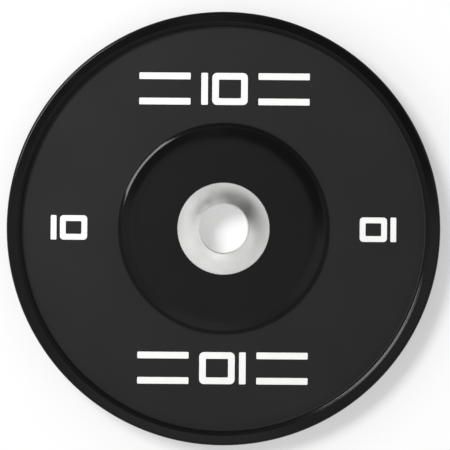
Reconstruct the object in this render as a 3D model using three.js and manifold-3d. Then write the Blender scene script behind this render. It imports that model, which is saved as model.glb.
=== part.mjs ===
import * as THREE from 'three';
import { mergeVertices, toCreasedNormals } from 'three/addons/utils/BufferGeometryUtils.js';
import Module from 'manifold-3d';

// A ten pound bumper plate: a moulded rubber disc on an anchored steel hub, with inlaid white marks.
// Lengths are in millimetres. The plate lies flat, its axis is Z, and its front face looks along +Z.

const wasm = await Module();
wasm.setup();

// The disc
const plateDiameter = 450;
const plateThickness = 30;
const webThickness = 17;

// The rim: a bevel rises to a flat crest, and from there the face falls a little to the outer corner
const rimWidth = 14.8;
const rimCrestWidth = 2;
const rimBevelDrop = 1.32;
const rimSlopeDrop = 1.04;
const outerCornerRadius = 3.2;

// The boss around the hub: a flat top below the rim's crest, a band that falls a little, and a bevel
const bossDiameter = 219.6;
const bossTopDiameter = 190;
const bossDrop = 1.9;
const bossSlopeDrop = 1.1;
const bossBevelDrop = 1.24;

// The width of the bevels, the small radii of the moulding, and the lean of its steep walls
const bevelWidth = 3.4;
const edgeRadius = 0.8;
const footRadius = 1.6;
const wallDraft = 0.5;

// The steel hub
const boreDiameter = 50.4;
const sleeveWall = 4;
const collarDiameter = 95.6;
const collarThickness = 5;
const collarSeatDepth = 1.5;
const collarEdgeChamfer = 0.4;
const boreChamfer = 0.8;
const neckRingWidth = 0.8;
const coveRise = 1.4;
const covePower = 2.5;

// The anchor plate inside the rubber. Its holes and notches are shares of its width from the sleeve to its edge.
const anchorDiameter = 162;
const anchorThickness = 3;
const anchorHoleCount = 8;
const anchorHoleShare = 0.466;
const anchorHolePlaceShare = 0.515;
const anchorNotchShare = 0.505;

// The inlaid marks: a pair of digits at each side, and larger digits between bars above and below
const inlayDepth = 1.5;
const sideMark = { height: 25.5, stroke: 6.1, zeroWidth: 28.4, space: 3.5, cornerRadius: 3.8 };
const mainMark = { height: 33.3, stroke: 7, zeroWidth: 37, space: 4.4, cornerRadius: 5 };
const barLength = 53.4;
const barSpace = 11;
const barEndRadius = 1;
const sideMarkPlaceShare = 0.506;
const mainMarkPlaceShare = 0.352;

// Clearances and the extra length of a cutter past what it cuts
const fitGap = 0.3;
const overrun = 2;

// How finely rounds are drawn
const roundSteps = 64;
const holeSteps = 16;
const cornerSteps = 4;
const edgeSteps = 2;
const cutCornerSteps = 1;
const coveSteps = 5;
const creaseAngle = Math.PI / 7;

// Sizes that several pieces share
const plateRadius = plateDiameter / 2;
const boreRadius = boreDiameter / 2;
const sleeveRadius = boreRadius + sleeveWall;
const collarRadius = collarDiameter / 2;
const faceHeight = plateThickness / 2;
const fieldHeight = webThickness / 2;
const collarBackHeight = faceHeight - collarThickness;
const sleeveEndHeight = collarBackHeight + collarSeatDepth;
const rimFootRadius = plateRadius - rimWidth;
const bossRadius = bossDiameter / 2;

const materials = {
	blackRubber: new THREE.MeshStandardMaterial( { color: '#2d2d2d', roughness: 0.78, metalness: 0 } ),
	whiteRubber: new THREE.MeshStandardMaterial( { color: '#f4f4f2', roughness: 0.6, metalness: 0 } ),
	turnedSteel: new THREE.MeshStandardMaterial( { color: '#cfcfcd', roughness: 0.32, metalness: 1 } ),
	plateSteel: new THREE.MeshStandardMaterial( { color: '#8a8b8c', roughness: 0.5, metalness: 1 } ),
};

// Solids and their meshes

function solidOf( geometry ) {

	const bare = geometry.clone();
	bare.deleteAttribute( 'normal' );
	bare.deleteAttribute( 'uv' );
	const merged = mergeVertices( bare );
	const vertProperties = new Float32Array( merged.attributes.position.array );
	const triVerts = new Uint32Array( merged.index.array );
	return new wasm.Manifold( new wasm.Mesh( { numProp: 3, vertProperties, triVerts } ) );

}

function geometryOf( solid ) {

	const { vertProperties, triVerts } = solid.getMesh();
	const geometry = new THREE.BufferGeometry();
	geometry.setAttribute( 'position', new THREE.BufferAttribute( vertProperties, 3 ) );
	geometry.setIndex( new THREE.BufferAttribute( triVerts, 1 ) );
	return toCreasedNormals( geometry, creaseAngle );

}

function namedMesh( name, geometry, material ) {

	const mesh = new THREE.Mesh( geometry, material.clone() );
	mesh.name = name;
	return mesh;

}

// Outlines

// A corner is [ across, up ], or [ across, up, radius, steps ] where it is rounded. Its rounding takes at most
// half of each side that meets there.
function roundedOutline( corners ) {

	const points = [];
	corners.forEach( ( [ x, y, radius, steps ], index ) => {

		const corner = new THREE.Vector2( x, y );
		if ( ! radius ) {

			points.push( corner );
			return;

		}

		const before = new THREE.Vector2( ...corners.at( index - 1 ) );
		const after = new THREE.Vector2( ...corners[ ( index + 1 ) % corners.length ] );
		const room = Math.min( corner.distanceTo( before ), corner.distanceTo( after ) ) / 2;
		const toBefore = before.sub( corner ).normalize();
		const toAfter = after.sub( corner ).normalize();
		const halfAngle = Math.acos( toBefore.dot( toAfter ) ) / 2;
		const reach = Math.min( radius / Math.tan( halfAngle ), room );
		const start = corner.clone().addScaledVector( toBefore, reach );
		const end = corner.clone().addScaledVector( toAfter, reach );
		const inward = toBefore.clone().add( toAfter ).normalize();
		const centre = corner.clone().addScaledVector( inward, reach / Math.cos( halfAngle ) );
		const turn = Math.PI - 2 * halfAngle;
		const side = Math.sign( toAfter.cross( toBefore ) );
		for ( let step = 0; step < steps; step ++ ) {

			points.push( start.clone().rotateAround( centre, side * turn * step / steps ) );

		}

		points.push( end );

	} );
	return points;

}

function turnedSolid( outline ) {

	const closed = [ ...outline, outline[ 0 ] ];
	return solidOf( new THREE.LatheGeometry( closed, roundSteps ).rotateX( Math.PI / 2 ) );

}

// Mirrors the front half of an outline in the mid-plane, to give the whole of it
function withRearHalf( frontHalf ) {

	const rearHalf = frontHalf.map( ( [ x, y, ...rounding ] ) => [ x, - y, ...rounding ] );
	return [ ...rearHalf, ...frontHalf.toReversed() ];

}

function roundBar( radius, length, steps ) {

	return new THREE.CylinderGeometry( radius, radius, length, steps ).rotateX( Math.PI / 2 );

}

// Steel hub

function hubSleeve() {

	const ends = sleeveEndHeight - fitGap;
	return turnedSolid( roundedOutline( [
		[ boreRadius, ends ],
		[ boreRadius, - ends ],
		[ sleeveRadius, - ends ],
		[ sleeveRadius, ends ],
	] ) );

}

// The face is nearly level at its edge and rises in a cove to the flat ring at the bore
function covedFace() {

	const faceEdgeRadius = collarRadius - collarEdgeChamfer;
	const mouthRadius = boreRadius + boreChamfer;
	const points = [];
	for ( let step = 0; step <= coveSteps; step ++ ) {

		const share = step / coveSteps;
		const radius = THREE.MathUtils.lerp( faceEdgeRadius, mouthRadius + neckRingWidth, share );
		points.push( [ radius, faceHeight - coveRise * ( 1 - share ** covePower ) ] );

	}

	return [ ...points, [ mouthRadius, faceHeight ] ];

}

function hubCollar() {

	const seatRadius = sleeveRadius + fitGap;
	return turnedSolid( roundedOutline( [
		[ seatRadius, collarBackHeight ],
		[ collarRadius, collarBackHeight ],
		[ collarRadius, faceHeight - coveRise - collarEdgeChamfer ],
		...covedFace(),
		[ boreRadius, faceHeight - boreChamfer ],
		[ boreRadius, sleeveEndHeight ],
		[ seatRadius, sleeveEndHeight ],
	] ) );

}

// Anchor plate, whose holes and edge notches the rubber fills. Grown all round, it is its own cavity.

function anchorPlate( growth ) {

	const outerRadius = anchorDiameter / 2;
	const innerRadius = sleeveRadius + fitGap;
	const height = anchorThickness / 2 + growth;
	let plate = turnedSolid( roundedOutline( [
		[ innerRadius - growth, height ],
		[ innerRadius - growth, - height ],
		[ outerRadius + growth, - height ],
		[ outerRadius + growth, height ],
	] ) );
	const width = outerRadius - innerRadius;
	const anchorHoleDiameter = anchorHoleShare * width;
	const anchorHoleCircleDiameter = 2 * ( innerRadius + anchorHolePlaceShare * width );
	const anchorNotchDiameter = anchorNotchShare * width;
	const cutterLength = 2 * ( height + overrun );
	const hole = roundBar( anchorHoleDiameter / 2 - growth, cutterLength, holeSteps );
	const notch = roundBar( anchorNotchDiameter / 2 - growth, cutterLength, holeSteps );
	for ( let index = 0; index < anchorHoleCount; index ++ ) {

		const holeTurn = 2 * Math.PI * index / anchorHoleCount;
		const notchTurn = 2 * Math.PI * ( index + 0.5 ) / anchorHoleCount;
		const holeCut = hole.clone().translate( anchorHoleCircleDiameter / 2, 0, 0 ).rotateZ( holeTurn );
		const notchCut = notch.clone().translate( outerRadius, 0, 0 ).rotateZ( notchTurn );
		plate = plate.subtract( solidOf( holeCut ) ).subtract( solidOf( notchCut ) );

	}

	return plate;

}

// Inlaid marks

function roundedRectangle( width, height, radius, steps ) {

	const x = width / 2;
	const y = height / 2;
	const corners = [ [ x, y ], [ - x, y ], [ - x, - y ], [ x, - y ] ];
	return roundedOutline( corners.map( ( corner ) => [ ...corner, radius, steps ] ) );

}

function barShape( width, height, growth ) {

	const radius = barEndRadius + growth;
	return new THREE.Shape( roundedRectangle( width + 2 * growth, height + 2 * growth, radius, cutCornerSteps ) );

}

function zeroShape( mark, growth ) {

	const { zeroWidth, height, stroke, cornerRadius } = mark;
	const outerRadius = cornerRadius + growth;
	const outer = roundedRectangle( zeroWidth + 2 * growth, height + 2 * growth, outerRadius, edgeSteps );
	const shrink = 2 * ( stroke + growth );
	const inner = roundedRectangle( zeroWidth - shrink, height - shrink, barEndRadius, cutCornerSteps );
	const shape = new THREE.Shape( outer );
	shape.holes.push( new THREE.Path( inner ) );
	return shape;

}

// An inlay with its top level with the rubber, or, grown, the cutter of its pocket
function inlayGeometry( shape, growth ) {

	const depth = growth ? inlayDepth + growth + overrun : inlayDepth;
	const geometry = new THREE.ExtrudeGeometry( shape, { depth, bevelEnabled: false } );
	return geometry.translate( 0, 0, fieldHeight - inlayDepth - growth );

}

function digitPieces( mark ) {

	const width = mark.stroke + mark.space + mark.zeroWidth;
	return [
		{
			label: 'digit_1',
			x: ( mark.stroke - width ) / 2,
			y: 0,
			shape: ( growth ) => barShape( mark.stroke, mark.height, growth ),
		},
		{
			label: 'digit_0',
			x: ( width - mark.zeroWidth ) / 2,
			y: 0,
			shape: ( growth ) => zeroShape( mark, growth ),
		},
	];

}

function barPieces() {

	const digitsWidth = mainMark.stroke + mainMark.space + mainMark.zeroWidth;
	const x = digitsWidth / 2 + barSpace + barLength / 2;
	const y = ( mainMark.height - mainMark.stroke ) / 2;
	const places = [ [ - x, y ], [ - x, - y ], [ x, y ], [ x, - y ] ];
	return places.map( ( [ barX, barY ], index ) => ( {
		label: `bar_${ index + 1 }`,
		x: barX,
		y: barY,
		shape: ( growth ) => barShape( barLength, mainMark.stroke, growth ),
	} ) );

}

function fieldRadiusAt( share ) {

	return THREE.MathUtils.lerp( bossRadius, rimFootRadius, share );

}

// The marks of one half of a face: the other half is this one turned half a turn
function markPlan() {

	const sideX = - fieldRadiusAt( sideMarkPlaceShare );
	const mainY = fieldRadiusAt( mainMarkPlaceShare );
	return [
		{ ends: [ 'left', 'right' ], x: sideX, y: 0, pieces: digitPieces( sideMark ) },
		{ ends: [ 'top', 'bottom' ], x: 0, y: mainY, pieces: [ ...digitPieces( mainMark ), ...barPieces() ] },
	];

}

// Hangs every inlay in its place under the plate, and gives the cutters of their pockets
function addInlays( plate ) {

	const pockets = [];
	for ( const [ side, face ] of [ 'front', 'rear' ].entries() ) {

		const faceGroup = new THREE.Group();
		faceGroup.rotation.y = side * Math.PI;
		plate.add( faceGroup );
		for ( const turn of [ 0, 1 ] ) {

			const turnGroup = new THREE.Group();
			turnGroup.rotation.z = turn * Math.PI;
			faceGroup.add( turnGroup );
			for ( const { ends, x, y, pieces } of markPlan() ) {

				for ( const piece of pieces ) {

					const name = `${ face }_${ ends[ turn ] }_${ piece.label }`;
					const inlay = namedMesh( name, inlayGeometry( piece.shape( 0 ), 0 ), materials.whiteRubber );
					inlay.position.set( x + piece.x, y + piece.y, 0 );
					turnGroup.add( inlay );
					inlay.updateWorldMatrix( true, false );
					const pocket = inlayGeometry( piece.shape( fitGap ), fitGap );
					pockets.push( solidOf( pocket.applyMatrix4( inlay.matrixWorld ) ) );

				}

			}

		}

	}

	return pockets;

}

// Rubber disc

function discOutline() {

	const holeRadius = sleeveRadius + fitGap;
	const recessRadius = collarRadius + fitGap;
	const recessHeight = collarBackHeight - fitGap;
	const bossTopHeight = faceHeight - bossDrop;
	const bossBandHeight = bossTopHeight - bossSlopeDrop;
	const bossWallRadius = bossRadius - wallDraft;
	const rimWallRadius = rimFootRadius + wallDraft;
	const crestRadius = rimWallRadius + bevelWidth;
	return withRearHalf( [
		[ holeRadius, recessHeight ],
		[ recessRadius, recessHeight ],
		[ recessRadius, bossTopHeight ],
		[ bossTopDiameter / 2, bossTopHeight ],
		[ bossWallRadius - bevelWidth, bossBandHeight ],
		[ bossWallRadius, bossBandHeight - bossBevelDrop, edgeRadius, edgeSteps ],
		[ bossRadius, fieldHeight, footRadius, edgeSteps ],
		[ rimFootRadius, fieldHeight, footRadius, edgeSteps ],
		[ rimWallRadius, faceHeight - rimBevelDrop, edgeRadius, edgeSteps ],
		[ crestRadius, faceHeight ],
		[ crestRadius + rimCrestWidth, faceHeight ],
		[ plateRadius, faceHeight - rimSlopeDrop, outerCornerRadius, cornerSteps ],
	] );

}

function rubberDisc( pockets ) {

	let disc = turnedSolid( roundedOutline( discOutline() ) );
	disc = disc.subtract( anchorPlate( fitGap ) );
	for ( const pocket of pockets ) {

		disc = disc.subtract( pocket );

	}

	return disc;

}

// Assembly

function bumperPlate() {

	const plate = new THREE.Group();
	const pockets = addInlays( plate );
	plate.add( namedMesh( 'rubber_disc', geometryOf( rubberDisc( pockets ) ), materials.blackRubber ) );
	plate.add( namedMesh( 'hub_sleeve', geometryOf( hubSleeve() ), materials.turnedSteel ) );
	plate.add( namedMesh( 'anchor_plate', geometryOf( anchorPlate( 0 ) ), materials.plateSteel ) );
	plate.add( namedMesh( 'front_hub_collar', geometryOf( hubCollar() ), materials.turnedSteel ) );
	const rearCollar = namedMesh( 'rear_hub_collar', geometryOf( hubCollar() ), materials.turnedSteel );
	rearCollar.rotation.y = Math.PI;
	plate.add( rearCollar );
	return plate;

}

export default bumperPlate();
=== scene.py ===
"""Dresses a ten pound bumper plate: a moulded rubber disc on a turned steel hub, with inlaid white marks."""

import logging
import math
from abc import ABC, abstractmethod
from dataclasses import dataclass
from enum import Enum
from typing import Callable, Sequence

import bmesh
import bpy
from mathutils import Matrix, Vector


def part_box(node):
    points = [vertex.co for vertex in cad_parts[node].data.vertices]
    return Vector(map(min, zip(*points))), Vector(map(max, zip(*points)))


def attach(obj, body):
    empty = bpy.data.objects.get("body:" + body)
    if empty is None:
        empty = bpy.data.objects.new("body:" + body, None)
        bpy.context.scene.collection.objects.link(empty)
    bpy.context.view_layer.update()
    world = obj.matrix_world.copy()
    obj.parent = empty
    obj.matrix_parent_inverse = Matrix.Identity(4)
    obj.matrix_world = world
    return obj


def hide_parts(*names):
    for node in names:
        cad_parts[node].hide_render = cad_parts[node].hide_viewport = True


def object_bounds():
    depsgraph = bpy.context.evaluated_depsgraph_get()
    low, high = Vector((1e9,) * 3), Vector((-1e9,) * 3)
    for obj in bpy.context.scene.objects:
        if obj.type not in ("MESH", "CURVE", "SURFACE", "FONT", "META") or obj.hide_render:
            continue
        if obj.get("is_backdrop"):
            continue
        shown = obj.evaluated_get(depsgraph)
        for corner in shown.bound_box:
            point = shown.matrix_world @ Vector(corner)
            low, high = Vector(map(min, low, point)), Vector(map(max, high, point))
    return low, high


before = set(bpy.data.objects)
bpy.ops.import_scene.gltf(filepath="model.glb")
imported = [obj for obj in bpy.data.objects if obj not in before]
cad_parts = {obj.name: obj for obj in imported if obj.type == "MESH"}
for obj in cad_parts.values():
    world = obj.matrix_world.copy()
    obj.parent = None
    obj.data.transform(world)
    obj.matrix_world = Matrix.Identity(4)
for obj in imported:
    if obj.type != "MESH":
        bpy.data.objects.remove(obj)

MM = 0.001
BODY = "root"
LOG = logging.getLogger("bumper_plate")

# The colour sockets of a Mix node, whose names repeat for each data type
MIX_FACTOR, MIX_FIRST, MIX_SECOND, MIX_RESULT = 0, 6, 7, 2

# How many finer layers a noise texture adds, and the range that nearly all of its values lie in
NOISE_DETAIL = 4.0
NOISE_LOW, NOISE_HIGH = 0.3, 0.7


class Slot(Enum):
    """The record's material slots."""

    BLACK_RUBBER = "black_rubber"
    WHITE_RUBBER = "white_rubber"
    TURNED_STEEL = "turned_steel"
    PLATE_STEEL = "plate_steel"


class Face(Enum):
    """The two faces of the plate, as the sign of their height."""

    FRONT = 1
    REAR = -1


class Zone(Enum):
    """The two textures of the mould, as the disc's material slots."""

    GRAINED = 0
    SMOOTH = 1


# Colour and nodes


def linear(hex_colour: str) -> tuple[float, float, float, float]:
    """Turns an sRGB colour into linear light.

    Args:
        hex_colour: The colour as six hex digits after a hash.

    Returns:
        Red, green and blue in linear light, and an alpha of one.
    """
    # The numbers of the curve are the sRGB standard's own
    shares = [int(hex_colour[start : start + 2], 16) / 255 for start in (1, 3, 5)]
    red, green, blue = (s / 12.92 if s <= 0.04045 else ((s + 0.055) / 1.055) ** 2.4 for s in shares)
    return red, green, blue, 1.0


def scale_for(size_mm: float) -> float:
    """Gives a pattern's scale from the real size of its features.

    Args:
        size_mm: The size of one feature in millimetres.

    Returns:
        The scale, in features for each metre.
    """
    return 1 / (size_mm * MM)


def add_node(
    tree: bpy.types.NodeTree,
    kind: str,
    settings: dict[str, object] | None = None,
    inputs: dict[str | int, object] | None = None,
) -> bpy.types.Node:
    """Adds a node with its settings, values and links.

    Args:
        tree: The node tree that takes the node.
        kind: The node's class name.
        settings: The node's own properties.
        inputs: A value, or the socket to link, for each input by its name or number.

    Returns:
        The new node.
    """
    node = tree.nodes.new(kind)
    for name, value in (settings or {}).items():
        setattr(node, name, value)
    for key, value in (inputs or {}).items():
        if isinstance(value, bpy.types.NodeSocket):
            tree.links.new(value, node.inputs[key])
        else:
            node.inputs[key].default_value = value
    return node


def new_material(name: str) -> tuple[bpy.types.Material, bpy.types.NodeTree]:
    """Makes a node material that has no nodes yet.

    Args:
        name: The material's name.

    Returns:
        The material and its node tree.
    """
    material = bpy.data.materials.new(name)
    material.use_nodes = True
    material.node_tree.nodes.clear()
    return material, material.node_tree


def direction(azimuth: float, elevation: float) -> Vector:
    """Gives the way to a point of the room.

    Args:
        azimuth: Degrees from +X towards +Y.
        elevation: Degrees above the floor.

    Returns:
        A vector of length one.
    """
    turn, rise = math.radians(azimuth), math.radians(elevation)
    return Vector((math.cos(rise) * math.cos(turn), math.cos(rise) * math.sin(turn), math.sin(rise)))


def distance_from_axis(tree: bpy.types.NodeTree, place: bpy.types.NodeSocket) -> bpy.types.NodeSocket:
    """Measures how far each point of a surface lies from the plate's axis.

    Args:
        tree: The node tree.
        place: The point's coordinates.

    Returns:
        The distance.
    """
    flat = add_node(tree, "ShaderNodeVectorMath", {"operation": "MULTIPLY"}, {0: place, 1: (1, 1, 0)})
    distance = add_node(tree, "ShaderNodeVectorMath", {"operation": "LENGTH"}, {0: flat.outputs["Vector"]})
    return distance.outputs["Value"]


def mottle(
    tree: bpy.types.NodeTree, place: bpy.types.NodeSocket, size_mm: float, low: float, high: float
) -> bpy.types.NodeSocket:
    """Lays soft random blotches over a surface.

    Args:
        tree: The node tree.
        place: The coordinates of the pattern.
        size_mm: The size of the blotches in millimetres.
        low: What one kind of blotch gives.
        high: What the other kind gives.

    Returns:
        The pattern's value.
    """
    noise_inputs = {"Vector": place, "Scale": scale_for(size_mm), "Detail": NOISE_DETAIL}
    noise = add_node(tree, "ShaderNodeTexNoise", None, noise_inputs)
    inputs = {
        "Value": noise.outputs["Fac"],
        "From Min": NOISE_LOW,
        "From Max": NOISE_HIGH,
        "To Min": low,
        "To Max": high,
    }
    return add_node(tree, "ShaderNodeMapRange", None, inputs).outputs["Result"]


def mottled_colour(
    tree: bpy.types.NodeTree, place: bpy.types.NodeSocket, size_mm: float, first: str, second: str
) -> bpy.types.NodeSocket:
    """Lets two colours pass into each other in soft random blotches.

    Args:
        tree: The node tree.
        place: The coordinates of the pattern.
        size_mm: The size of the blotches in millimetres.
        first: The first colour in hex.
        second: The second colour in hex.

    Returns:
        The colour.
    """
    share = mottle(tree, place, size_mm, 0.0, 1.0)
    inputs = {MIX_FACTOR: share, MIX_FIRST: linear(first), MIX_SECOND: linear(second)}
    return add_node(tree, "ShaderNodeMix", {"data_type": "RGBA"}, inputs).outputs[MIX_RESULT]


def grain(
    tree: bpy.types.NodeTree, place: bpy.types.NodeSocket, size_mm: float, depth_mm: float
) -> bpy.types.NodeSocket:
    """Roughens a surface with fine random pits.

    Args:
        tree: The node tree.
        place: The coordinates of the pattern.
        size_mm: The size of the pits in millimetres.
        depth_mm: Their depth in millimetres.

    Returns:
        The surface's normal.
    """
    noise_inputs = {"Vector": place, "Scale": scale_for(size_mm), "Detail": NOISE_DETAIL}
    pits = add_node(tree, "ShaderNodeTexNoise", None, noise_inputs).outputs["Fac"]
    inputs = {"Strength": 1.0, "Distance": depth_mm * MM, "Height": pits}
    return add_node(tree, "ShaderNodeBump", None, inputs).outputs["Normal"]


# Finishes


@dataclass(frozen=True)
class Finish(ABC):
    """What the plate's finishes share: a name, and one surface that follows the piece's own coordinates."""

    name: str

    @abstractmethod
    def surface(self, tree: bpy.types.NodeTree, place: bpy.types.NodeSocket) -> dict[str, object]:
        """Describes the surface.

        Args:
            tree: The material's node tree.
            place: The coordinates of its patterns.

        Returns:
            The inputs of its principled shader.
        """

    def material(self) -> bpy.types.Material:
        """Builds the material.

        Returns:
            The material.
        """
        material, tree = new_material(self.name)
        place = add_node(tree, "ShaderNodeTexCoord").outputs["Object"]
        shader = add_node(tree, "ShaderNodeBsdfPrincipled", None, self.surface(tree, place))
        add_node(tree, "ShaderNodeOutputMaterial", None, {"Surface": shader.outputs["BSDF"]})
        return material


@dataclass(frozen=True)
class MouldedRubber(Finish):
    """Vulcanised black rubber: the blasted or rubbed face of its steel mould prints into it."""

    dark: str
    light: str
    inner_roughness: float
    outer_roughness: float
    grain_mm: float
    grain_depth_mm: float
    specular_level: float
    roughness_swing: float = 0.02
    rub_start_radius: float = 86 * MM
    rub_end_radius: float = 100 * MM
    cloud_mm: float = 70.0
    gloss_cloud_mm: float = 17.5
    ior: float = 1.52

    def surface(self, tree: bpy.types.NodeTree, place: bpy.types.NodeSocket) -> dict[str, object]:
        """Describes the skin that the mould leaves.

        Args:
            tree: The material's node tree.
            place: The coordinates of its patterns.

        Returns:
            The inputs of its principled shader.
        """
        # The mould is rubbed smoother towards its edge, so the gloss changes softly along the radius
        rub_inputs = {
            "Value": distance_from_axis(tree, place),
            "From Min": self.rub_start_radius,
            "From Max": self.rub_end_radius,
            "To Min": self.inner_roughness,
            "To Max": self.outer_roughness,
        }
        rub = add_node(tree, "ShaderNodeMapRange", {"interpolation_type": "SMOOTHSTEP"}, rub_inputs)
        swing = mottle(tree, place, self.gloss_cloud_mm, -self.roughness_swing, self.roughness_swing)
        roughness = add_node(tree, "ShaderNodeMath", None, {0: rub.outputs["Result"], 1: swing})
        # The carbon black swallows nearly all light, so the gloss of the skin gives the shape to the eye.
        # The mould's pits are finer than a pixel, so the grain is drawn as coarse as it needs to show.
        return {
            "Base Color": mottled_colour(tree, place, self.cloud_mm, self.dark, self.light),
            "Roughness": roughness.outputs["Value"],
            "IOR": self.ior,
            "Specular IOR Level": self.specular_level,
            "Normal": grain(tree, place, self.grain_mm, self.grain_depth_mm),
        }


MOULD_TEXTURES = {
    Zone.GRAINED: MouldedRubber(
        name="grained_black_rubber",
        dark="#1c1c1c",
        light="#202020",
        inner_roughness=0.6,
        outer_roughness=0.6,
        grain_mm=0.9,
        grain_depth_mm=0.05,
        specular_level=0.2,
    ),
    Zone.SMOOTH: MouldedRubber(
        name="smooth_black_rubber",
        dark="#0f0f0f",
        light="#111111",
        inner_roughness=0.38,
        outer_roughness=0.11,
        grain_mm=0.6,
        grain_depth_mm=0.001,
        specular_level=0.16,
    ),
}


@dataclass(frozen=True)
class InlaidRubber(Finish):
    """White rubber cured into the black: clean, a little silky, with faint unevenness from the press."""

    name: str = "inlaid_white_rubber"
    clean: str = "#fdfdfc"
    dull: str = "#f7f7f5"
    roughness: float = 0.5
    grain_mm: float = 0.9
    grain_depth_mm: float = 0.01
    cloud_mm: float = 12.0
    ior: float = 1.52

    def surface(self, tree: bpy.types.NodeTree, place: bpy.types.NodeSocket) -> dict[str, object]:
        """Describes the pressed white rubber.

        Args:
            tree: The material's node tree.
            place: The coordinates of its patterns.

        Returns:
            The inputs of its principled shader.
        """
        # Titanium white scatters nearly all light, so the marks stay white and even from every side
        return {
            "Base Color": mottled_colour(tree, place, self.cloud_mm, self.clean, self.dull),
            "Roughness": self.roughness,
            "IOR": self.ior,
            "Normal": grain(tree, place, self.grain_mm, self.grain_depth_mm),
        }


@dataclass(frozen=True)
class TurnedSteel(Finish):
    """Stainless steel faced on a lathe: its fine rings stretch each reflection along the radius."""

    name: str = "turned_stainless_steel"
    bright: str = "#f0f0ee"
    soft: str = "#e8e8e6"
    haze_mm: float = 18.0
    roughness_low: float = 0.2
    roughness_high: float = 0.26
    anisotropy: float = 0.2
    ring_mm: float = 0.7
    ring_depth_mm: float = 0.002
    ring_detail: float = 3.0

    def surface(self, tree: bpy.types.NodeTree, place: bpy.types.NodeSocket) -> dict[str, object]:
        """Describes the turned face.

        Args:
            tree: The material's node tree.
            place: The coordinates of its patterns.

        Returns:
            The inputs of its principled shader.
        """
        # The face mirrors the room in soft light and dark sectors, pulled out along the radius by its rings.
        # The tool's own rings are about a tenth of a millimetre apart, so they are drawn coarser, to show.
        ring_inputs = {
            "W": distance_from_axis(tree, place),
            "Scale": scale_for(self.ring_mm),
            "Detail": self.ring_detail,
        }
        rings = add_node(tree, "ShaderNodeTexNoise", {"noise_dimensions": "1D"}, ring_inputs).outputs["Fac"]
        bump_inputs = {"Strength": 1.0, "Distance": self.ring_depth_mm * MM, "Height": rings}
        bump = add_node(tree, "ShaderNodeBump", None, bump_inputs)
        tangent = add_node(tree, "ShaderNodeTangent", {"direction_type": "RADIAL", "axis": "Z"})
        return {
            "Base Color": mottled_colour(tree, place, self.haze_mm, self.bright, self.soft),
            "Metallic": 1.0,
            "Roughness": mottle(tree, place, self.haze_mm, self.roughness_low, self.roughness_high),
            "Anisotropic": self.anisotropy,
            "Normal": bump.outputs["Normal"],
            "Tangent": tangent.outputs["Tangent"],
        }


@dataclass(frozen=True)
class HotRolledSteel(Finish):
    """Laser cut hot rolled plate: grey mill scale with darker, rougher patches."""

    name: str = "hot_rolled_steel"
    scale_dark: str = "#4f5254"
    scale_light: str = "#84878a"
    patch_mm: float = 9.0
    roughness_low: float = 0.42
    roughness_high: float = 0.55
    scale_depth_mm: float = 0.03

    def surface(self, tree: bpy.types.NodeTree, place: bpy.types.NodeSocket) -> dict[str, object]:
        """Describes the mill scale.

        Args:
            tree: The material's node tree.
            place: The coordinates of its patterns.

        Returns:
            The inputs of its principled shader.
        """
        # The scale breaks off in patches, so the plate looks dull and cloudy beside the turned hub
        return {
            "Base Color": mottled_colour(tree, place, self.patch_mm, self.scale_dark, self.scale_light),
            "Metallic": 1.0,
            "Roughness": mottle(tree, place, self.patch_mm, self.roughness_high, self.roughness_low),
            "Normal": grain(tree, place, self.patch_mm, self.scale_depth_mm),
        }


@dataclass(frozen=True)
class StudioPaper:
    """Seamless background paper: matt, nearly white, with a painted glow that keeps its shadows pale and
    grows farther from the plate.
    """

    name: str = "background_paper"
    colour: str = "#fbfbfb"
    roughness: float = 0.95
    painted_glow_share: float = 0.36
    far_painted_glow_share: float = 0.85
    plate_reach: float = 240 * MM
    far_reach: float = 300 * MM

    def material(self) -> bpy.types.Material:
        """Builds the material, whose painted glow only shows where the paper itself is looked at.

        Returns:
            The material.
        """
        material, tree = new_material(self.name)
        inputs = {"Base Color": linear(self.colour), "Roughness": self.roughness, "Specular IOR Level": 0.0}
        matt = add_node(tree, "ShaderNodeBsdfPrincipled", None, inputs)
        # Painted light: the paper glows though it is no lamp, which pales the plate's shadow on it
        painted_glow = add_node(tree, "ShaderNodeEmission", None, {"Strength": 1.0})
        rays = add_node(tree, "ShaderNodeLightPath").outputs
        seen_inputs = {0: rays["Is Camera Ray"], 1: rays["Is Glossy Ray"]}
        seen = add_node(tree, "ShaderNodeMath", {"operation": "ADD"}, seen_inputs)
        looked_inputs = {0: seen.outputs["Value"], 1: rays["Is Transmission Ray"]}
        looked_at = add_node(tree, "ShaderNodeMath", {"operation": "ADD", "use_clamp": True}, looked_inputs)
        place = add_node(tree, "ShaderNodeTexCoord").outputs["Object"]
        distance = add_node(tree, "ShaderNodeVectorMath", {"operation": "LENGTH"}, {0: place})
        # The painted glow is weaker near the plate and stronger farther out, so the paper is painted lighter
        # away from the plate
        glow_inputs = {
            "Value": distance.outputs["Value"],
            "From Min": self.plate_reach,
            "From Max": self.far_reach,
            "To Min": self.painted_glow_share,
            "To Max": self.far_painted_glow_share,
        }
        painted_glow_share = add_node(tree, "ShaderNodeMapRange", {"interpolation_type": "SMOOTHSTEP"}, glow_inputs)
        share_inputs = {0: looked_at.outputs["Value"], 1: painted_glow_share.outputs["Result"]}
        share = add_node(tree, "ShaderNodeMath", {"operation": "MULTIPLY"}, share_inputs)
        mix_inputs = {0: share.outputs["Value"], 1: matt.outputs["BSDF"], 2: painted_glow.outputs["Emission"]}
        mix = add_node(tree, "ShaderNodeMixShader", None, mix_inputs)
        add_node(tree, "ShaderNodeOutputMaterial", None, {"Surface": mix.outputs["Shader"]})
        return material


# Outlines and meshes


@dataclass(frozen=True)
class Corner:
    """A corner of an outline, sharp or rounded."""

    x: float
    y: float
    radius: float = 0.0
    steps: int = 0

    def point(self) -> Vector:
        """Gives the sharp corner."""
        return Vector((self.x, self.y))


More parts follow.
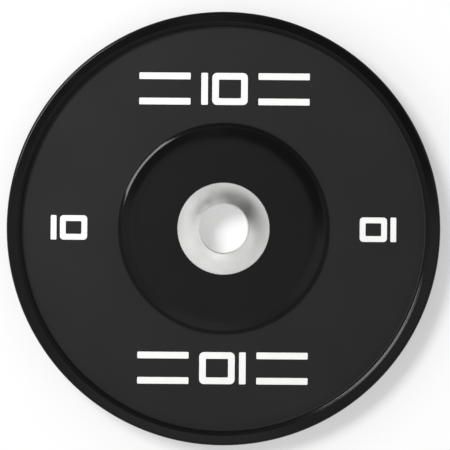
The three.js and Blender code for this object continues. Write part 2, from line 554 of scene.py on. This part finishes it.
def rounded(corners: Sequence[Corner]) -> list[Vector]:
    """Draws a closed outline with its corners rounded.

    Args:
        corners: The corners in order.

    Returns:
        The outline's points.
    """
    points: list[Vector] = []
    for index, corner in enumerate(corners):
        here = corner.point()
        if corner.radius == 0:
            points.append(here)
            continue
        to_before = (corners[index - 1].point() - here).normalized()
        to_after = (corners[(index + 1) % len(corners)].point() - here).normalized()
        half_angle = to_before.angle(to_after) / 2
        centre = here + (to_before + to_after).normalized() * (corner.radius / math.sin(half_angle))
        start = here + to_before * (corner.radius / math.tan(half_angle)) - centre
        turn = math.pi - 2 * half_angle
        side = 1 if to_after.x * to_before.y - to_after.y * to_before.x > 0 else -1
        for step in range(corner.steps + 1):
            angle = side * turn * step / corner.steps
            across = start.x * math.cos(angle) - start.y * math.sin(angle)
            up = start.x * math.sin(angle) + start.y * math.cos(angle)
            points.append(centre + Vector((across, up)))
    return points


def supported(points: Sequence[Vector], reach: float, least_reaches: float = 4.0) -> list[Vector]:
    """Adds points close to both ends of each long stretch, so that smooth shading stays near its curve.

    Args:
        points: A closed outline.
        reach: How far from the ends the new points lie.
        least_reaches: How many times the reach a long stretch measures.

    Returns:
        The outline with its new points.
    """
    result: list[Vector] = []
    for index, point in enumerate(points):
        after = points[(index + 1) % len(points)]
        result.append(point)
        length = (after - point).length
        if length > least_reaches * reach:
            result.append(point.lerp(after, reach / length))
            result.append(after.lerp(point, reach / length))
    return result


def turns(steps: int) -> list[float]:
    """Gives the angles of the equal steps of a full turn."""
    return [2 * math.pi * step / steps for step in range(steps)]


def circle(radius: float, steps: int) -> list[Vector]:
    """Gives the points of a circle.

    Args:
        radius: Its radius.
        steps: How many points it has.

    Returns:
        The points, counter-clockwise.
    """
    return [Vector((radius * math.cos(angle), radius * math.sin(angle))) for angle in turns(steps)]


def mesh_from(name: str, form: bmesh.types.BMesh) -> bpy.types.Mesh:
    """Turns a finished bmesh into a mesh.

    Args:
        name: The mesh's name.
        form: The bmesh, which is freed.

    Returns:
        The mesh.
    """
    bmesh.ops.recalc_face_normals(form, faces=form.faces)
    mesh = bpy.data.meshes.new(name)
    form.to_mesh(mesh)
    form.free()
    return mesh


def revolved(
    name: str,
    outline: Sequence[Vector],
    steps: int,
    zone: Callable[[Vector], Zone] | None = None,
) -> bpy.types.Mesh:
    """Turns a closed outline round the Z axis.

    Args:
        name: The mesh's name.
        outline: The outline's points as radius and height.
        steps: How many steps make the full turn.
        zone: Gives the mould texture of a stretch from its middle, on a piece that has more than one.

    Returns:
        The mesh.
    """
    form = bmesh.new()
    rings = []
    for angle in turns(steps):
        across, up = math.cos(angle), math.sin(angle)
        rings.append([form.verts.new((point.x * across, point.x * up, point.y)) for point in outline])
    middles = [(point + outline[index - 1]) / 2 for index, point in enumerate(outline)]
    zones = [zone(middle).value if zone else 0 for middle in middles]
    for step, ring in enumerate(rings):
        before = rings[step - 1]
        for index, vert in enumerate(ring):
            face = form.faces.new((vert, ring[index - 1], before[index - 1], before[index]))
            face.material_index = zones[index]
    return mesh_from(name, form)


# A level of a stacked solid: its height, its outer outline, and the outline of its hole or None
Level = tuple[float, Sequence[Vector], Sequence[Vector] | None]


def lofted(name: str, levels: Sequence[Level], place: Vector) -> bpy.types.Mesh:
    """Stacks outlines of equal point counts into a closed solid.

    Args:
        name: The mesh's name.
        levels: Its levels from one end to the other.
        place: Where the outlines' middle lies.

    Returns:
        The mesh.
    """
    form = bmesh.new()

    def ring(height: float, outline: Sequence[Vector]) -> list[bmesh.types.BMVert]:
        """Adds one level's points."""
        return [form.verts.new((place.x + point.x, place.y + point.y, place.z + height)) for point in outline]

    def bridge(first: Sequence[bmesh.types.BMVert], second: Sequence[bmesh.types.BMVert]) -> None:
        """Joins two rings with quads."""
        for index in range(len(first)):
            form.faces.new((first[index - 1], first[index], second[index], second[index - 1]))

    outer = [ring(height, outline) for height, outline, _ in levels]
    inner = [ring(height, hole) for height, _, hole in levels if hole]
    for rings in (outer, inner):
        for below, above in zip(rings, rings[1:]):
            bridge(below, above)
    if inner:
        bridge(outer[0], inner[0])
        bridge(outer[-1], inner[-1])
    else:
        form.faces.new(outer[0])
        form.faces.new(outer[-1])
    return mesh_from(name, form)


def turn_over(mesh: bpy.types.Mesh) -> None:
    """Turns a mesh half a turn about the Y axis."""
    for vert in mesh.vertices:
        vert.co = (-vert.co.x, vert.co.y, -vert.co.z)


def cut(target: bpy.types.Object, cutters: Sequence[bpy.types.Mesh]) -> None:
    """Cuts several solids out of an object.

    Args:
        target: The object that is cut.
        cutters: The solids, which don't overlap one another.
    """
    form = bmesh.new()
    for mesh in cutters:
        form.from_mesh(mesh)
    joined = bpy.data.objects.new("cutter", mesh_from("cutter", form))
    bpy.context.scene.collection.objects.link(joined)
    modifier = target.modifiers.new("cut", "BOOLEAN")
    modifier.operation = "DIFFERENCE"
    modifier.solver = "EXACT"
    modifier.object = joined
    depsgraph = bpy.context.evaluated_depsgraph_get()
    result = bpy.data.meshes.new_from_object(target.evaluated_get(depsgraph))
    target.modifiers.clear()
    target.data = result
    bpy.data.objects.remove(joined)


def new_object(name: str, mesh: bpy.types.Mesh) -> bpy.types.Object:
    """Puts a mesh in the scene.

    Args:
        name: The object's name.
        mesh: Its mesh.

    Returns:
        The object.
    """
    piece = bpy.data.objects.new(name, mesh)
    bpy.context.scene.collection.objects.link(piece)
    return piece


def smooth(piece: bpy.types.Object, crease_degrees: float = 30.0) -> None:
    """Shades an object smooth between its creases.

    Args:
        piece: The object.
        crease_degrees: The least angle of an edge that stays sharp.
    """
    mesh = piece.data
    mesh.polygons.foreach_set("use_smooth", [True] * len(mesh.polygons))
    mesh.set_sharp_from_angle(angle=math.radians(crease_degrees))


def dress(
    piece: bpy.types.Object, node: str, materials: Sequence[bpy.types.Material]
) -> bpy.types.Object:
    """Gives a piece its materials and puts it in the place of a node.

    Args:
        piece: The piece.
        node: The node that it stands for.
        materials: Its materials.

    Returns:
        The piece.
    """
    # Clearing the materials also resets which face has which, so that is kept and set again
    zones = [polygon.material_index for polygon in piece.data.polygons]
    piece.data.materials.clear()
    for material in materials:
        piece.data.materials.append(material)
    piece.data.polygons.foreach_set("material_index", zones)
    smooth(piece)
    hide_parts(node)
    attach(piece, BODY)
    LOG.info("%s stands for %s with %d faces", piece.name, node, len(piece.data.polygons))
    return piece


# Steel hub


@dataclass(frozen=True)
class HubSleeve:
    """The steel tube that runs through the rubber and slides on the bar."""

    node: str = "hub_sleeve"
    wall: float = 4 * MM
    end_chamfer: float = 0.4 * MM
    round_steps: int = 192

    @property
    def outer_radius(self) -> float:
        """The tube's outer radius."""
        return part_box(self.node)[1].x

    @property
    def bore_radius(self) -> float:
        """The radius of the bore."""
        return self.outer_radius - self.wall

    def build(self, finish: bpy.types.Material) -> bpy.types.Object:
        """Builds and dresses the sleeve.

        Args:
            finish: Its material.

        Returns:
            The sleeve.
        """
        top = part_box(self.node)[1].z
        corners = [
            Corner(self.bore_radius, top),
            Corner(self.bore_radius, -top),
            Corner(self.outer_radius - self.end_chamfer, -top),
            Corner(self.outer_radius, self.end_chamfer - top),
            Corner(self.outer_radius, top - self.end_chamfer),
            Corner(self.outer_radius - self.end_chamfer, top),
        ]
        mesh = revolved("hub_tube", rounded(corners), self.round_steps)
        return dress(new_object("hub_tube", mesh), self.node, [finish])


@dataclass(frozen=True)
class HubCollar:
    """A collar pressed on the end of the sleeve, whose face rises in a cove to a flat ring at the bore."""

    face: Face
    sleeve: HubSleeve
    seat_depth: float = 1.5 * MM
    seat_gap: float = 0.3 * MM
    edge_chamfer: float = 0.4 * MM
    mouth_chamfer: float = 0.8 * MM
    ring_width: float = 0.8 * MM
    cove_rise: float = 1.4 * MM
    cove_power: float = 2.5
    cove_steps: int = 24
    round_steps: int = 256

    @property
    def node(self) -> str:
        """The collar's node."""
        return f"{self.face.name.lower()}_hub_collar"

    def profile(self, back: float, front: float, radius: float) -> list[Corner]:
        """Gives the collar's outline.

        Args:
            back: The height of its back.
            front: The height of the ring at the bore.
            radius: Its outer radius.

        Returns:
            The corners as radius and height.
        """
        bore = self.sleeve.bore_radius
        mouth = bore + self.mouth_chamfer
        ring = mouth + self.ring_width
        edge = radius - self.edge_chamfer
        seat = self.sleeve.outer_radius + self.seat_gap
        cove = []
        for step in range(self.cove_steps + 1):
            share = step / self.cove_steps
            height = front - self.cove_rise * (1 - share**self.cove_power)
            cove.append(Corner(edge + (ring - edge) * share, height))
        return [
            Corner(seat, back),
            Corner(radius, back),
            Corner(radius, front - self.cove_rise - self.edge_chamfer),
            *cove,
            Corner(mouth, front),
            Corner(bore, front - self.mouth_chamfer),
            Corner(bore, back + self.seat_depth),
            Corner(seat, back + self.seat_depth),
        ]

    def build(self, finish: bpy.types.Material) -> bpy.types.Object:
        """Builds and dresses the collar.

        Args:
            finish: Its material.

        Returns:
            The collar.
        """
        low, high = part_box(self.node)
        # The rear collar is built as a front one and then turned over
        back, front = sorted((abs(low.z), abs(high.z)))
        outline = supported(rounded(self.profile(back, front, high.x)), self.seat_gap)
        name = f"{self.face.name.lower()}_collar_ring"
        piece = new_object(name, revolved(name, outline, self.round_steps))
        if self.face is Face.REAR:
            turn_over(piece.data)
        return dress(piece, self.node, [finish])


@dataclass(frozen=True)
class AnchorPlate:
    """The steel disc on the sleeve inside the rubber, whose holes and notches hold it there."""

    node: str = "anchor_plate"
    inner_radius: float = 29.5 * MM
    hole_radius: float = 12 * MM
    hole_circle_radius: float = 56 * MM
    notch_radius: float = 13 * MM
    hole_count: int = 8
    overrun: float = 2 * MM
    round_steps: int = 192
    hole_steps: int = 48

    def solid(self, name: str, growth: float) -> bpy.types.Object:
        """Builds the plate, or, grown all round, its cavity in the rubber.

        Args:
            name: The object's name.
            growth: How much larger it is on every side.

        Returns:
            The solid as an object.
        """
        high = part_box(self.node)[1]
        radius, height = high.x + growth, high.z + growth
        inner = self.inner_radius - growth
        places = [(inner, height), (inner, -height), (radius, -height), (radius, height)]
        corners = [Corner(*corner) for corner in places]
        plate = new_object(name, revolved(name, rounded(corners), self.round_steps))
        reach = height + self.overrun
        cutters = []
        # Holes and notches take turns round the plate
        for index in range(2 * self.hole_count):
            is_notch = index % 2 == 1
            angle = math.pi * index / self.hole_count
            distance = high.x if is_notch else self.hole_circle_radius
            size = (self.notch_radius if is_notch else self.hole_radius) - growth
            place = Vector((distance * math.cos(angle), distance * math.sin(angle), 0))
            outline = circle(size, self.hole_steps)
            cutters.append(lofted("hole", [(-reach, outline, None), (reach, outline, None)], place))
        cut(plate, cutters)
        return plate

    def build(self, finish: bpy.types.Material) -> bpy.types.Object:
        """Builds and dresses the plate.

        Args:
            finish: Its material.

        Returns:
            The anchor plate.
        """
        return dress(self.solid("anchor_disc", 0.0), self.node, [finish])


# Inlaid marks


@dataclass(frozen=True)
class Inlay:
    """One white inlay, a bar or a nought, level with the field."""

    node: str
    end_radius: float = 1 * MM
    nought_radius_share: float = 0.148
    edge_round: float = 0.12 * MM
    corner_steps: int = 8

    @property
    def is_nought(self) -> bool:
        """Whether the inlay has a hole."""
        return self.node.endswith("digit_0")

    @property
    def stroke(self) -> float:
        """The width of the nought's stroke, which is that of the 1 beside it."""
        low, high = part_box(self.node.replace("digit_0", "digit_1"))
        return high.x - low.x

    def outlines(self, growth: float) -> tuple[list[Vector], list[Vector] | None]:
        """Gives the inlay's outlines.

        Args:
            growth: How much larger the inlay is on every side.

        Returns:
            The outer outline, and the hole's or None.
        """
        low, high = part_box(self.node)
        width, height = high.x - low.x, high.y - low.y
        if not self.is_nought:
            return self.rectangle(width, height, self.end_radius, growth), None
        outer = self.rectangle(width, height, height * self.nought_radius_share, growth)
        hole = self.rectangle(width - 2 * self.stroke, height - 2 * self.stroke, self.end_radius, -growth)
        return outer, hole

    def rectangle(self, width: float, height: float, radius: float, growth: float) -> list[Vector]:
        """Draws a rectangle with rounded corners.

        Args:
            width: Its width.
            height: Its height.
            radius: The radius of its corners.
            growth: How much larger it is drawn on every side.

        Returns:
            The outline's points.
        """
        x, y = width / 2 + growth, height / 2 + growth
        places = [(x, y), (-x, y), (-x, -y), (x, -y)]
        return rounded([Corner(*place, radius + growth, self.corner_steps) for place in places])

    def build(self, finish: bpy.types.Material) -> bpy.types.Object:
        """Builds and dresses the inlay.

        Args:
            finish: Its material.

        Returns:
            The inlay.
        """
        low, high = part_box(self.node)
        half = (high.z - low.z) / 2
        levels = [
            (-half, *self.outlines(0.0)),
            (half - self.edge_round, *self.outlines(0.0)),
            (half, *self.outlines(-self.edge_round)),
        ]
        # On the rear face the rounded edge looks down
        if low.z < 0:
            levels = [(-height, outer, hole) for height, outer, hole in levels]
        name = self.node.replace("digit_", "numeral_").replace("bar_", "stripe_")
        piece = new_object(name, lofted(name, levels, (low + high) / 2))
        return dress(piece, self.node, [finish])

    def pocket(self, gap: float, overrun: float) -> bpy.types.Mesh:
        """Builds the cutter of the inlay's pocket.

        Args:
            gap: How much larger the pocket is on every side.
            overrun: How far the cutter stands out of the field.

        Returns:
            The cutter.
        """
        low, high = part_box(self.node)
        middle = (low + high) / 2
        half = (high.z - low.z) / 2
        outlines = self.outlines(gap)
        ends = (-half - gap, half + overrun) if low.z > 0 else (-half - overrun, half + gap)
        return lofted("pocket", [(end, *outlines) for end in ends], middle)


# Rubber disc


@dataclass(frozen=True)
class RubberDisc:
    """The moulded disc: a grained field between a smooth rim and a smooth boss."""

    anchor: AnchorPlate
    inlays: Sequence[Inlay]
    node: str = "rubber_disc"
    rim_width: float = 14.8 * MM
    rim_crest_width: float = 0.6 * MM
    rim_crest_rounding: float = 2.4 * MM
    rim_bevel_drop: float = 1.32 * MM
    rim_slope_drop: float = 1.04 * MM
    corner_radius: float = 3.2 * MM
    boss_radius: float = 109.8 * MM
    boss_top_radius: float = 95 * MM
    boss_top_rounding: float = 70 * MM
    boss_shoulder_rounding: float = 12 * MM
    boss_drop: float = 1.9 * MM
    boss_slope_drop: float = 1.1 * MM
    boss_bevel_drop: float = 1.24 * MM
    bevel_width: float = 3.4 * MM
    edge_radius: float = 0.8 * MM
    recess_edge_radius: float = 0.2 * MM
    foot_radius: float = 1.6 * MM
    wall_draft: float = 0.5 * MM
    hub_gap: float = 0.1 * MM
    inlay_gap: float = 0.08 * MM
    anchor_gap: float = 0.3 * MM
    parting_depth: float = 0.25 * MM
    parting_half_width: float = 0.4 * MM
    overrun: float = 2 * MM
    round_steps: int = 480
    arc_steps: int = 8
    support: float = 0.5 * MM

    @property
    def boss_wall(self) -> float:
        """The radius of the boss at the top of its wall, which leans in by the draft."""
        return self.boss_radius - self.wall_draft

    @property
    def rim_foot(self) -> float:
        """The inner radius of the rim where it meets the field."""
        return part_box(self.node)[1].x - self.rim_width

    @property
    def rim_wall(self) -> float:
        """The inner radius of the rim at the top of its wall."""
        return self.rim_foot + self.wall_draft

    def front_corners(self) -> list[Corner]:
        """Gives the front half of the outline.

        Returns:
            The corners from the hub out, as radius and height.
        """
        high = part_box(self.node)[1]
        collar_low, collar_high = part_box("front_hub_collar")
        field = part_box("front_left_digit_1")[1].z
        hole = self.anchor.inner_radius
        recess = collar_high.x + self.hub_gap
        recess_floor = collar_low.z - self.anchor_gap
        boss_top = high.z - self.boss_drop
        boss_edge = boss_top - self.boss_slope_drop
        crest = self.rim_wall + self.bevel_width
        steps = self.arc_steps
        return [
            Corner(hole, recess_floor),
            Corner(recess, recess_floor),
            Corner(recess, boss_top, self.recess_edge_radius, steps // 2),
            Corner(self.boss_top_radius, boss_top, self.boss_top_rounding, steps),
            Corner(self.boss_wall - self.bevel_width, boss_edge, self.boss_shoulder_rounding, steps),
            Corner(self.boss_wall, boss_edge - self.boss_bevel_drop, self.edge_radius, steps),
            Corner(self.boss_radius, field, self.foot_radius, steps),
            Corner(self.rim_foot, field, self.foot_radius, steps),
            Corner(self.rim_wall, high.z - self.rim_bevel_drop, self.edge_radius, steps),
            Corner(crest, high.z, self.rim_crest_rounding, steps),
            Corner(crest + self.rim_crest_width, high.z, self.rim_crest_rounding, steps // 2),
            Corner(high.x, high.z - self.rim_slope_drop, self.corner_radius, 2 * steps),
        ]

    def outline(self) -> list[Vector]:
        """Gives the whole outline, with the fine line where the mould's halves meet.

        Returns:
            The outline's points as radius and height.
        """
        front = self.front_corners()
        rear = [Corner(corner.x, -corner.y, corner.radius, corner.steps) for corner in front]
        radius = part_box(self.node)[1].x
        parting = [
            Corner(radius, -self.parting_half_width),
            Corner(radius - self.parting_depth, 0.0),
            Corner(radius, self.parting_half_width),
        ]
        return supported(rounded([*rear, *parting, *reversed(front)]), self.support)

    def zone(self, middle: Vector) -> Zone:
        """Gives the texture of a stretch of the outline.

        Args:
            middle: The stretch's middle as radius and height.

        Returns:
            Grained in the recess, smooth elsewhere.
        """
        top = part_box(self.node)[1].z
        wall_top = top - self.boss_drop - self.boss_slope_drop - self.boss_bevel_drop - self.edge_radius
        in_recess = self.boss_wall < middle.x < self.rim_wall and abs(middle.y) < wall_top
        return Zone.GRAINED if in_recess else Zone.SMOOTH

    def build(self, finishes: Sequence[bpy.types.Material]) -> bpy.types.Object:
        """Builds and dresses the disc.

        Args:
            finishes: The materials of the zones, in their order.

        Returns:
            The disc.
        """
        mesh = revolved("moulded_disc", self.outline(), self.round_steps, self.zone)
        piece = new_object("moulded_disc", mesh)
        for finish in finishes:
            mesh.materials.append(finish)
        cavity = self.anchor.solid("anchor_cavity", self.anchor_gap)
        pockets = [inlay.pocket(self.inlay_gap, self.overrun) for inlay in self.inlays]
        cut(piece, [cavity.data, *pockets])
        bpy.data.objects.remove(cavity)
        return dress(piece, self.node, finishes)


# Studio


@dataclass(frozen=True)
class SoftBox:
    """A soft light that looks at the plate."""

    name: str
    azimuth: float = 142.0
    elevation: float = 52.0
    distance: float = 2.6
    width: float = 1.2
    height: float = 0.7
    power: float = 46.0

    def build(self) -> bpy.types.Object:
        """Builds the light.

        Returns:
            The light.
        """
        lamp = bpy.data.lights.new(self.name, "AREA")
        lamp.shape = "RECTANGLE"
        lamp.size = self.width
        lamp.size_y = self.height
        lamp.energy = self.power
        box = bpy.data.objects.new(self.name, lamp)
        towards = direction(self.azimuth, self.elevation)
        box.location = towards * self.distance
        across = Vector((0, 0, 1)).cross(towards).normalized()
        turned = Matrix((across, towards.cross(across), towards)).transposed()
        box.rotation_euler = turned.to_euler()
        bpy.context.scene.collection.objects.link(box)
        return box


@dataclass(frozen=True)
class RoomPatch:
    """A soft round patch of the room that is lighter or darker than the rest."""

    azimuth: float
    elevation: float
    core_degrees: float
    reach_degrees: float
    factor: float

    def light(self, tree: bpy.types.NodeTree, way: bpy.types.NodeSocket) -> bpy.types.NodeSocket:
        """Gives the patch's factor, and one outside it.

        Args:
            tree: The world's node tree.
            way: The way that is looked at.

        Returns:
            The factor.
        """
        middle = direction(self.azimuth, self.elevation)
        nearness = add_node(tree, "ShaderNodeVectorMath", {"operation": "DOT_PRODUCT"}, {0: way, 1: middle})
        settings = {"interpolation_type": "SMOOTHSTEP"}
        inputs = {
            "Value": nearness.outputs["Value"],
            "From Min": math.cos(math.radians(self.reach_degrees)),
            "From Max": math.cos(math.radians(self.core_degrees)),
            "To Min": 1.0,
            "To Max": self.factor,
        }
        return add_node(tree, "ShaderNodeMapRange", settings, inputs).outputs["Result"]


@dataclass(frozen=True)
class Studio:
    """A pale paper floor, one soft key light and a pale room with lighter and darker patches.

    The room's light by height is a row of pairs: a height as a share of straight up, and the light there.
    """

    paper: StudioPaper
    key: SoftBox
    patches: Sequence[RoomPatch] = (
        RoomPatch(azimuth=48.0, elevation=74.5, core_degrees=9.5, reach_degrees=15.0, factor=0.06),
        RoomPatch(azimuth=132.0, elevation=70.0, core_degrees=8.0, reach_degrees=12.5, factor=0.1),
        RoomPatch(azimuth=166.0, elevation=84.0, core_degrees=4.0, reach_degrees=12.0, factor=1.3),
        RoomPatch(azimuth=258.0, elevation=67.0, core_degrees=6.0, reach_degrees=13.0, factor=1.7),
        RoomPatch(azimuth=350.0, elevation=71.0, core_degrees=6.0, reach_degrees=13.0, factor=1.4),
        RoomPatch(azimuth=75.0, elevation=20.0, core_degrees=20.0, reach_degrees=60.0, factor=0.3),
    )
    floor_half_side: float = 6.0
    light_by_height: Sequence[tuple[float, float]] = (
        (0.0, 1.05),
        (0.5, 0.7),
        (0.77, 0.4),
        (0.93, 0.65),
        (1.0, 0.75),
    )

    def build_floor(self) -> bpy.types.Object:
        """Lays the paper under the plate.

        Returns:
            The floor.
        """
        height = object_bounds()[0].z
        side = self.floor_half_side
        form = bmesh.new()
        places = [(-side, -side), (side, -side), (side, side), (-side, side)]
        form.faces.new([form.verts.new((x, y, height)) for x, y in places])
        floor = new_object("paper_floor", mesh_from("paper_floor", form))
        floor.data.materials.append(self.paper.material())
        floor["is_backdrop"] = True
        return floor

    def build_room(self) -> None:
        """Lights the room by its height above the floor and by its patches."""
        world = bpy.data.worlds.new("studio_room")
        bpy.context.scene.world = world
        world.use_nodes = True
        tree = world.node_tree
        tree.nodes.clear()
        way = add_node(tree, "ShaderNodeTexCoord").outputs["Generated"]
        height = add_node(tree, "ShaderNodeSeparateXYZ", None, {0: way}).outputs["Z"]
        sky = add_node(tree, "ShaderNodeValToRGB", None, {"Fac": height})
        ramp = sky.color_ramp
        ramp.interpolation = "EASE"
        # A new ramp has two stops already
        for index, (share, light) in enumerate(self.light_by_height):
            if index > 1:
                ramp.elements.new(share)
            ramp.elements[index].position = share
            ramp.elements[index].color = (light, light, light, 1.0)
        strength = self.patches[0].light(tree, way)
        for patch in self.patches[1:]:
            product_inputs = {0: strength, 1: patch.light(tree, way)}
            product = add_node(tree, "ShaderNodeMath", {"operation": "MULTIPLY"}, product_inputs)
            strength = product.outputs["Value"]
        background_inputs = {"Color": sky.outputs["Color"], "Strength": strength}
        background = add_node(tree, "ShaderNodeBackground", None, background_inputs)
        add_node(tree, "ShaderNodeOutputWorld", None, {"Surface": background.outputs["Background"]})

    def build(self) -> None:
        """Builds the floor, the room and the light."""
        self.build_floor()
        self.build_room()
        self.key.build()
        bpy.context.scene.view_settings.view_transform = "Standard"


@dataclass(frozen=True)
class PhotoCamera:
    """A camera straight above the plate, which frames it as the photograph does."""

    frame_pixels: float = 450.0
    plate_centre_pixels: tuple[float, float] = (223.5, 228.6)
    plate_radius_pixels: float = 217.4
    roll_degrees: float = 0.44
    lens_mm: float = 120.0
    sensor_mm: float = 36.0

    def build(self) -> bpy.types.Object:
        """Builds the camera and makes it the scene's own.

        Returns:
            The camera.
        """
        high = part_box("rubber_disc")[1]
        metres_per_pixel = high.x / self.plate_radius_pixels
        middle = self.frame_pixels / 2
        across = (middle - self.plate_centre_pixels[0]) * metres_per_pixel
        up = (self.plate_centre_pixels[1] - middle) * metres_per_pixel
        distance = self.frame_pixels * metres_per_pixel * self.lens_mm / self.sensor_mm
        data = bpy.data.cameras.new("photo_camera")
        data.lens = self.lens_mm
        data.sensor_width = self.sensor_mm
        camera = bpy.data.objects.new("photo_camera", data)
        camera.location = (across, up, high.z + distance)
        camera.rotation_euler.z = math.radians(self.roll_degrees)
        bpy.context.scene.collection.objects.link(camera)
        bpy.context.scene.camera = camera
        return camera


# The whole plate


def inlay_nodes() -> list[str]:
    """Gives the names of the inlays' nodes."""
    return sorted(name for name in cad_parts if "digit" in name or "bar" in name)


def main() -> None:
    """Builds the plate and its studio."""
    logging.basicConfig(level=logging.INFO, format="%(name)s: %(message)s")
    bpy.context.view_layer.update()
    PhotoCamera().build()
    Studio(StudioPaper(), SoftBox("key_light")).build()

    turned_steel = TurnedSteel().material()
    sleeve = HubSleeve()
    sleeve.build(turned_steel)
    for face in Face:
        HubCollar(face, sleeve).build(turned_steel)
    anchor = AnchorPlate()
    anchor.build(HotRolledSteel().material())
    white_rubber = InlaidRubber().material()
    inlays = [Inlay(node) for node in inlay_nodes()]
    for inlay in inlays:
        inlay.build(white_rubber)
    RubberDisc(anchor, inlays).build([MOULD_TEXTURES[zone].material() for zone in Zone])


if __name__ == "__main__":
    main()
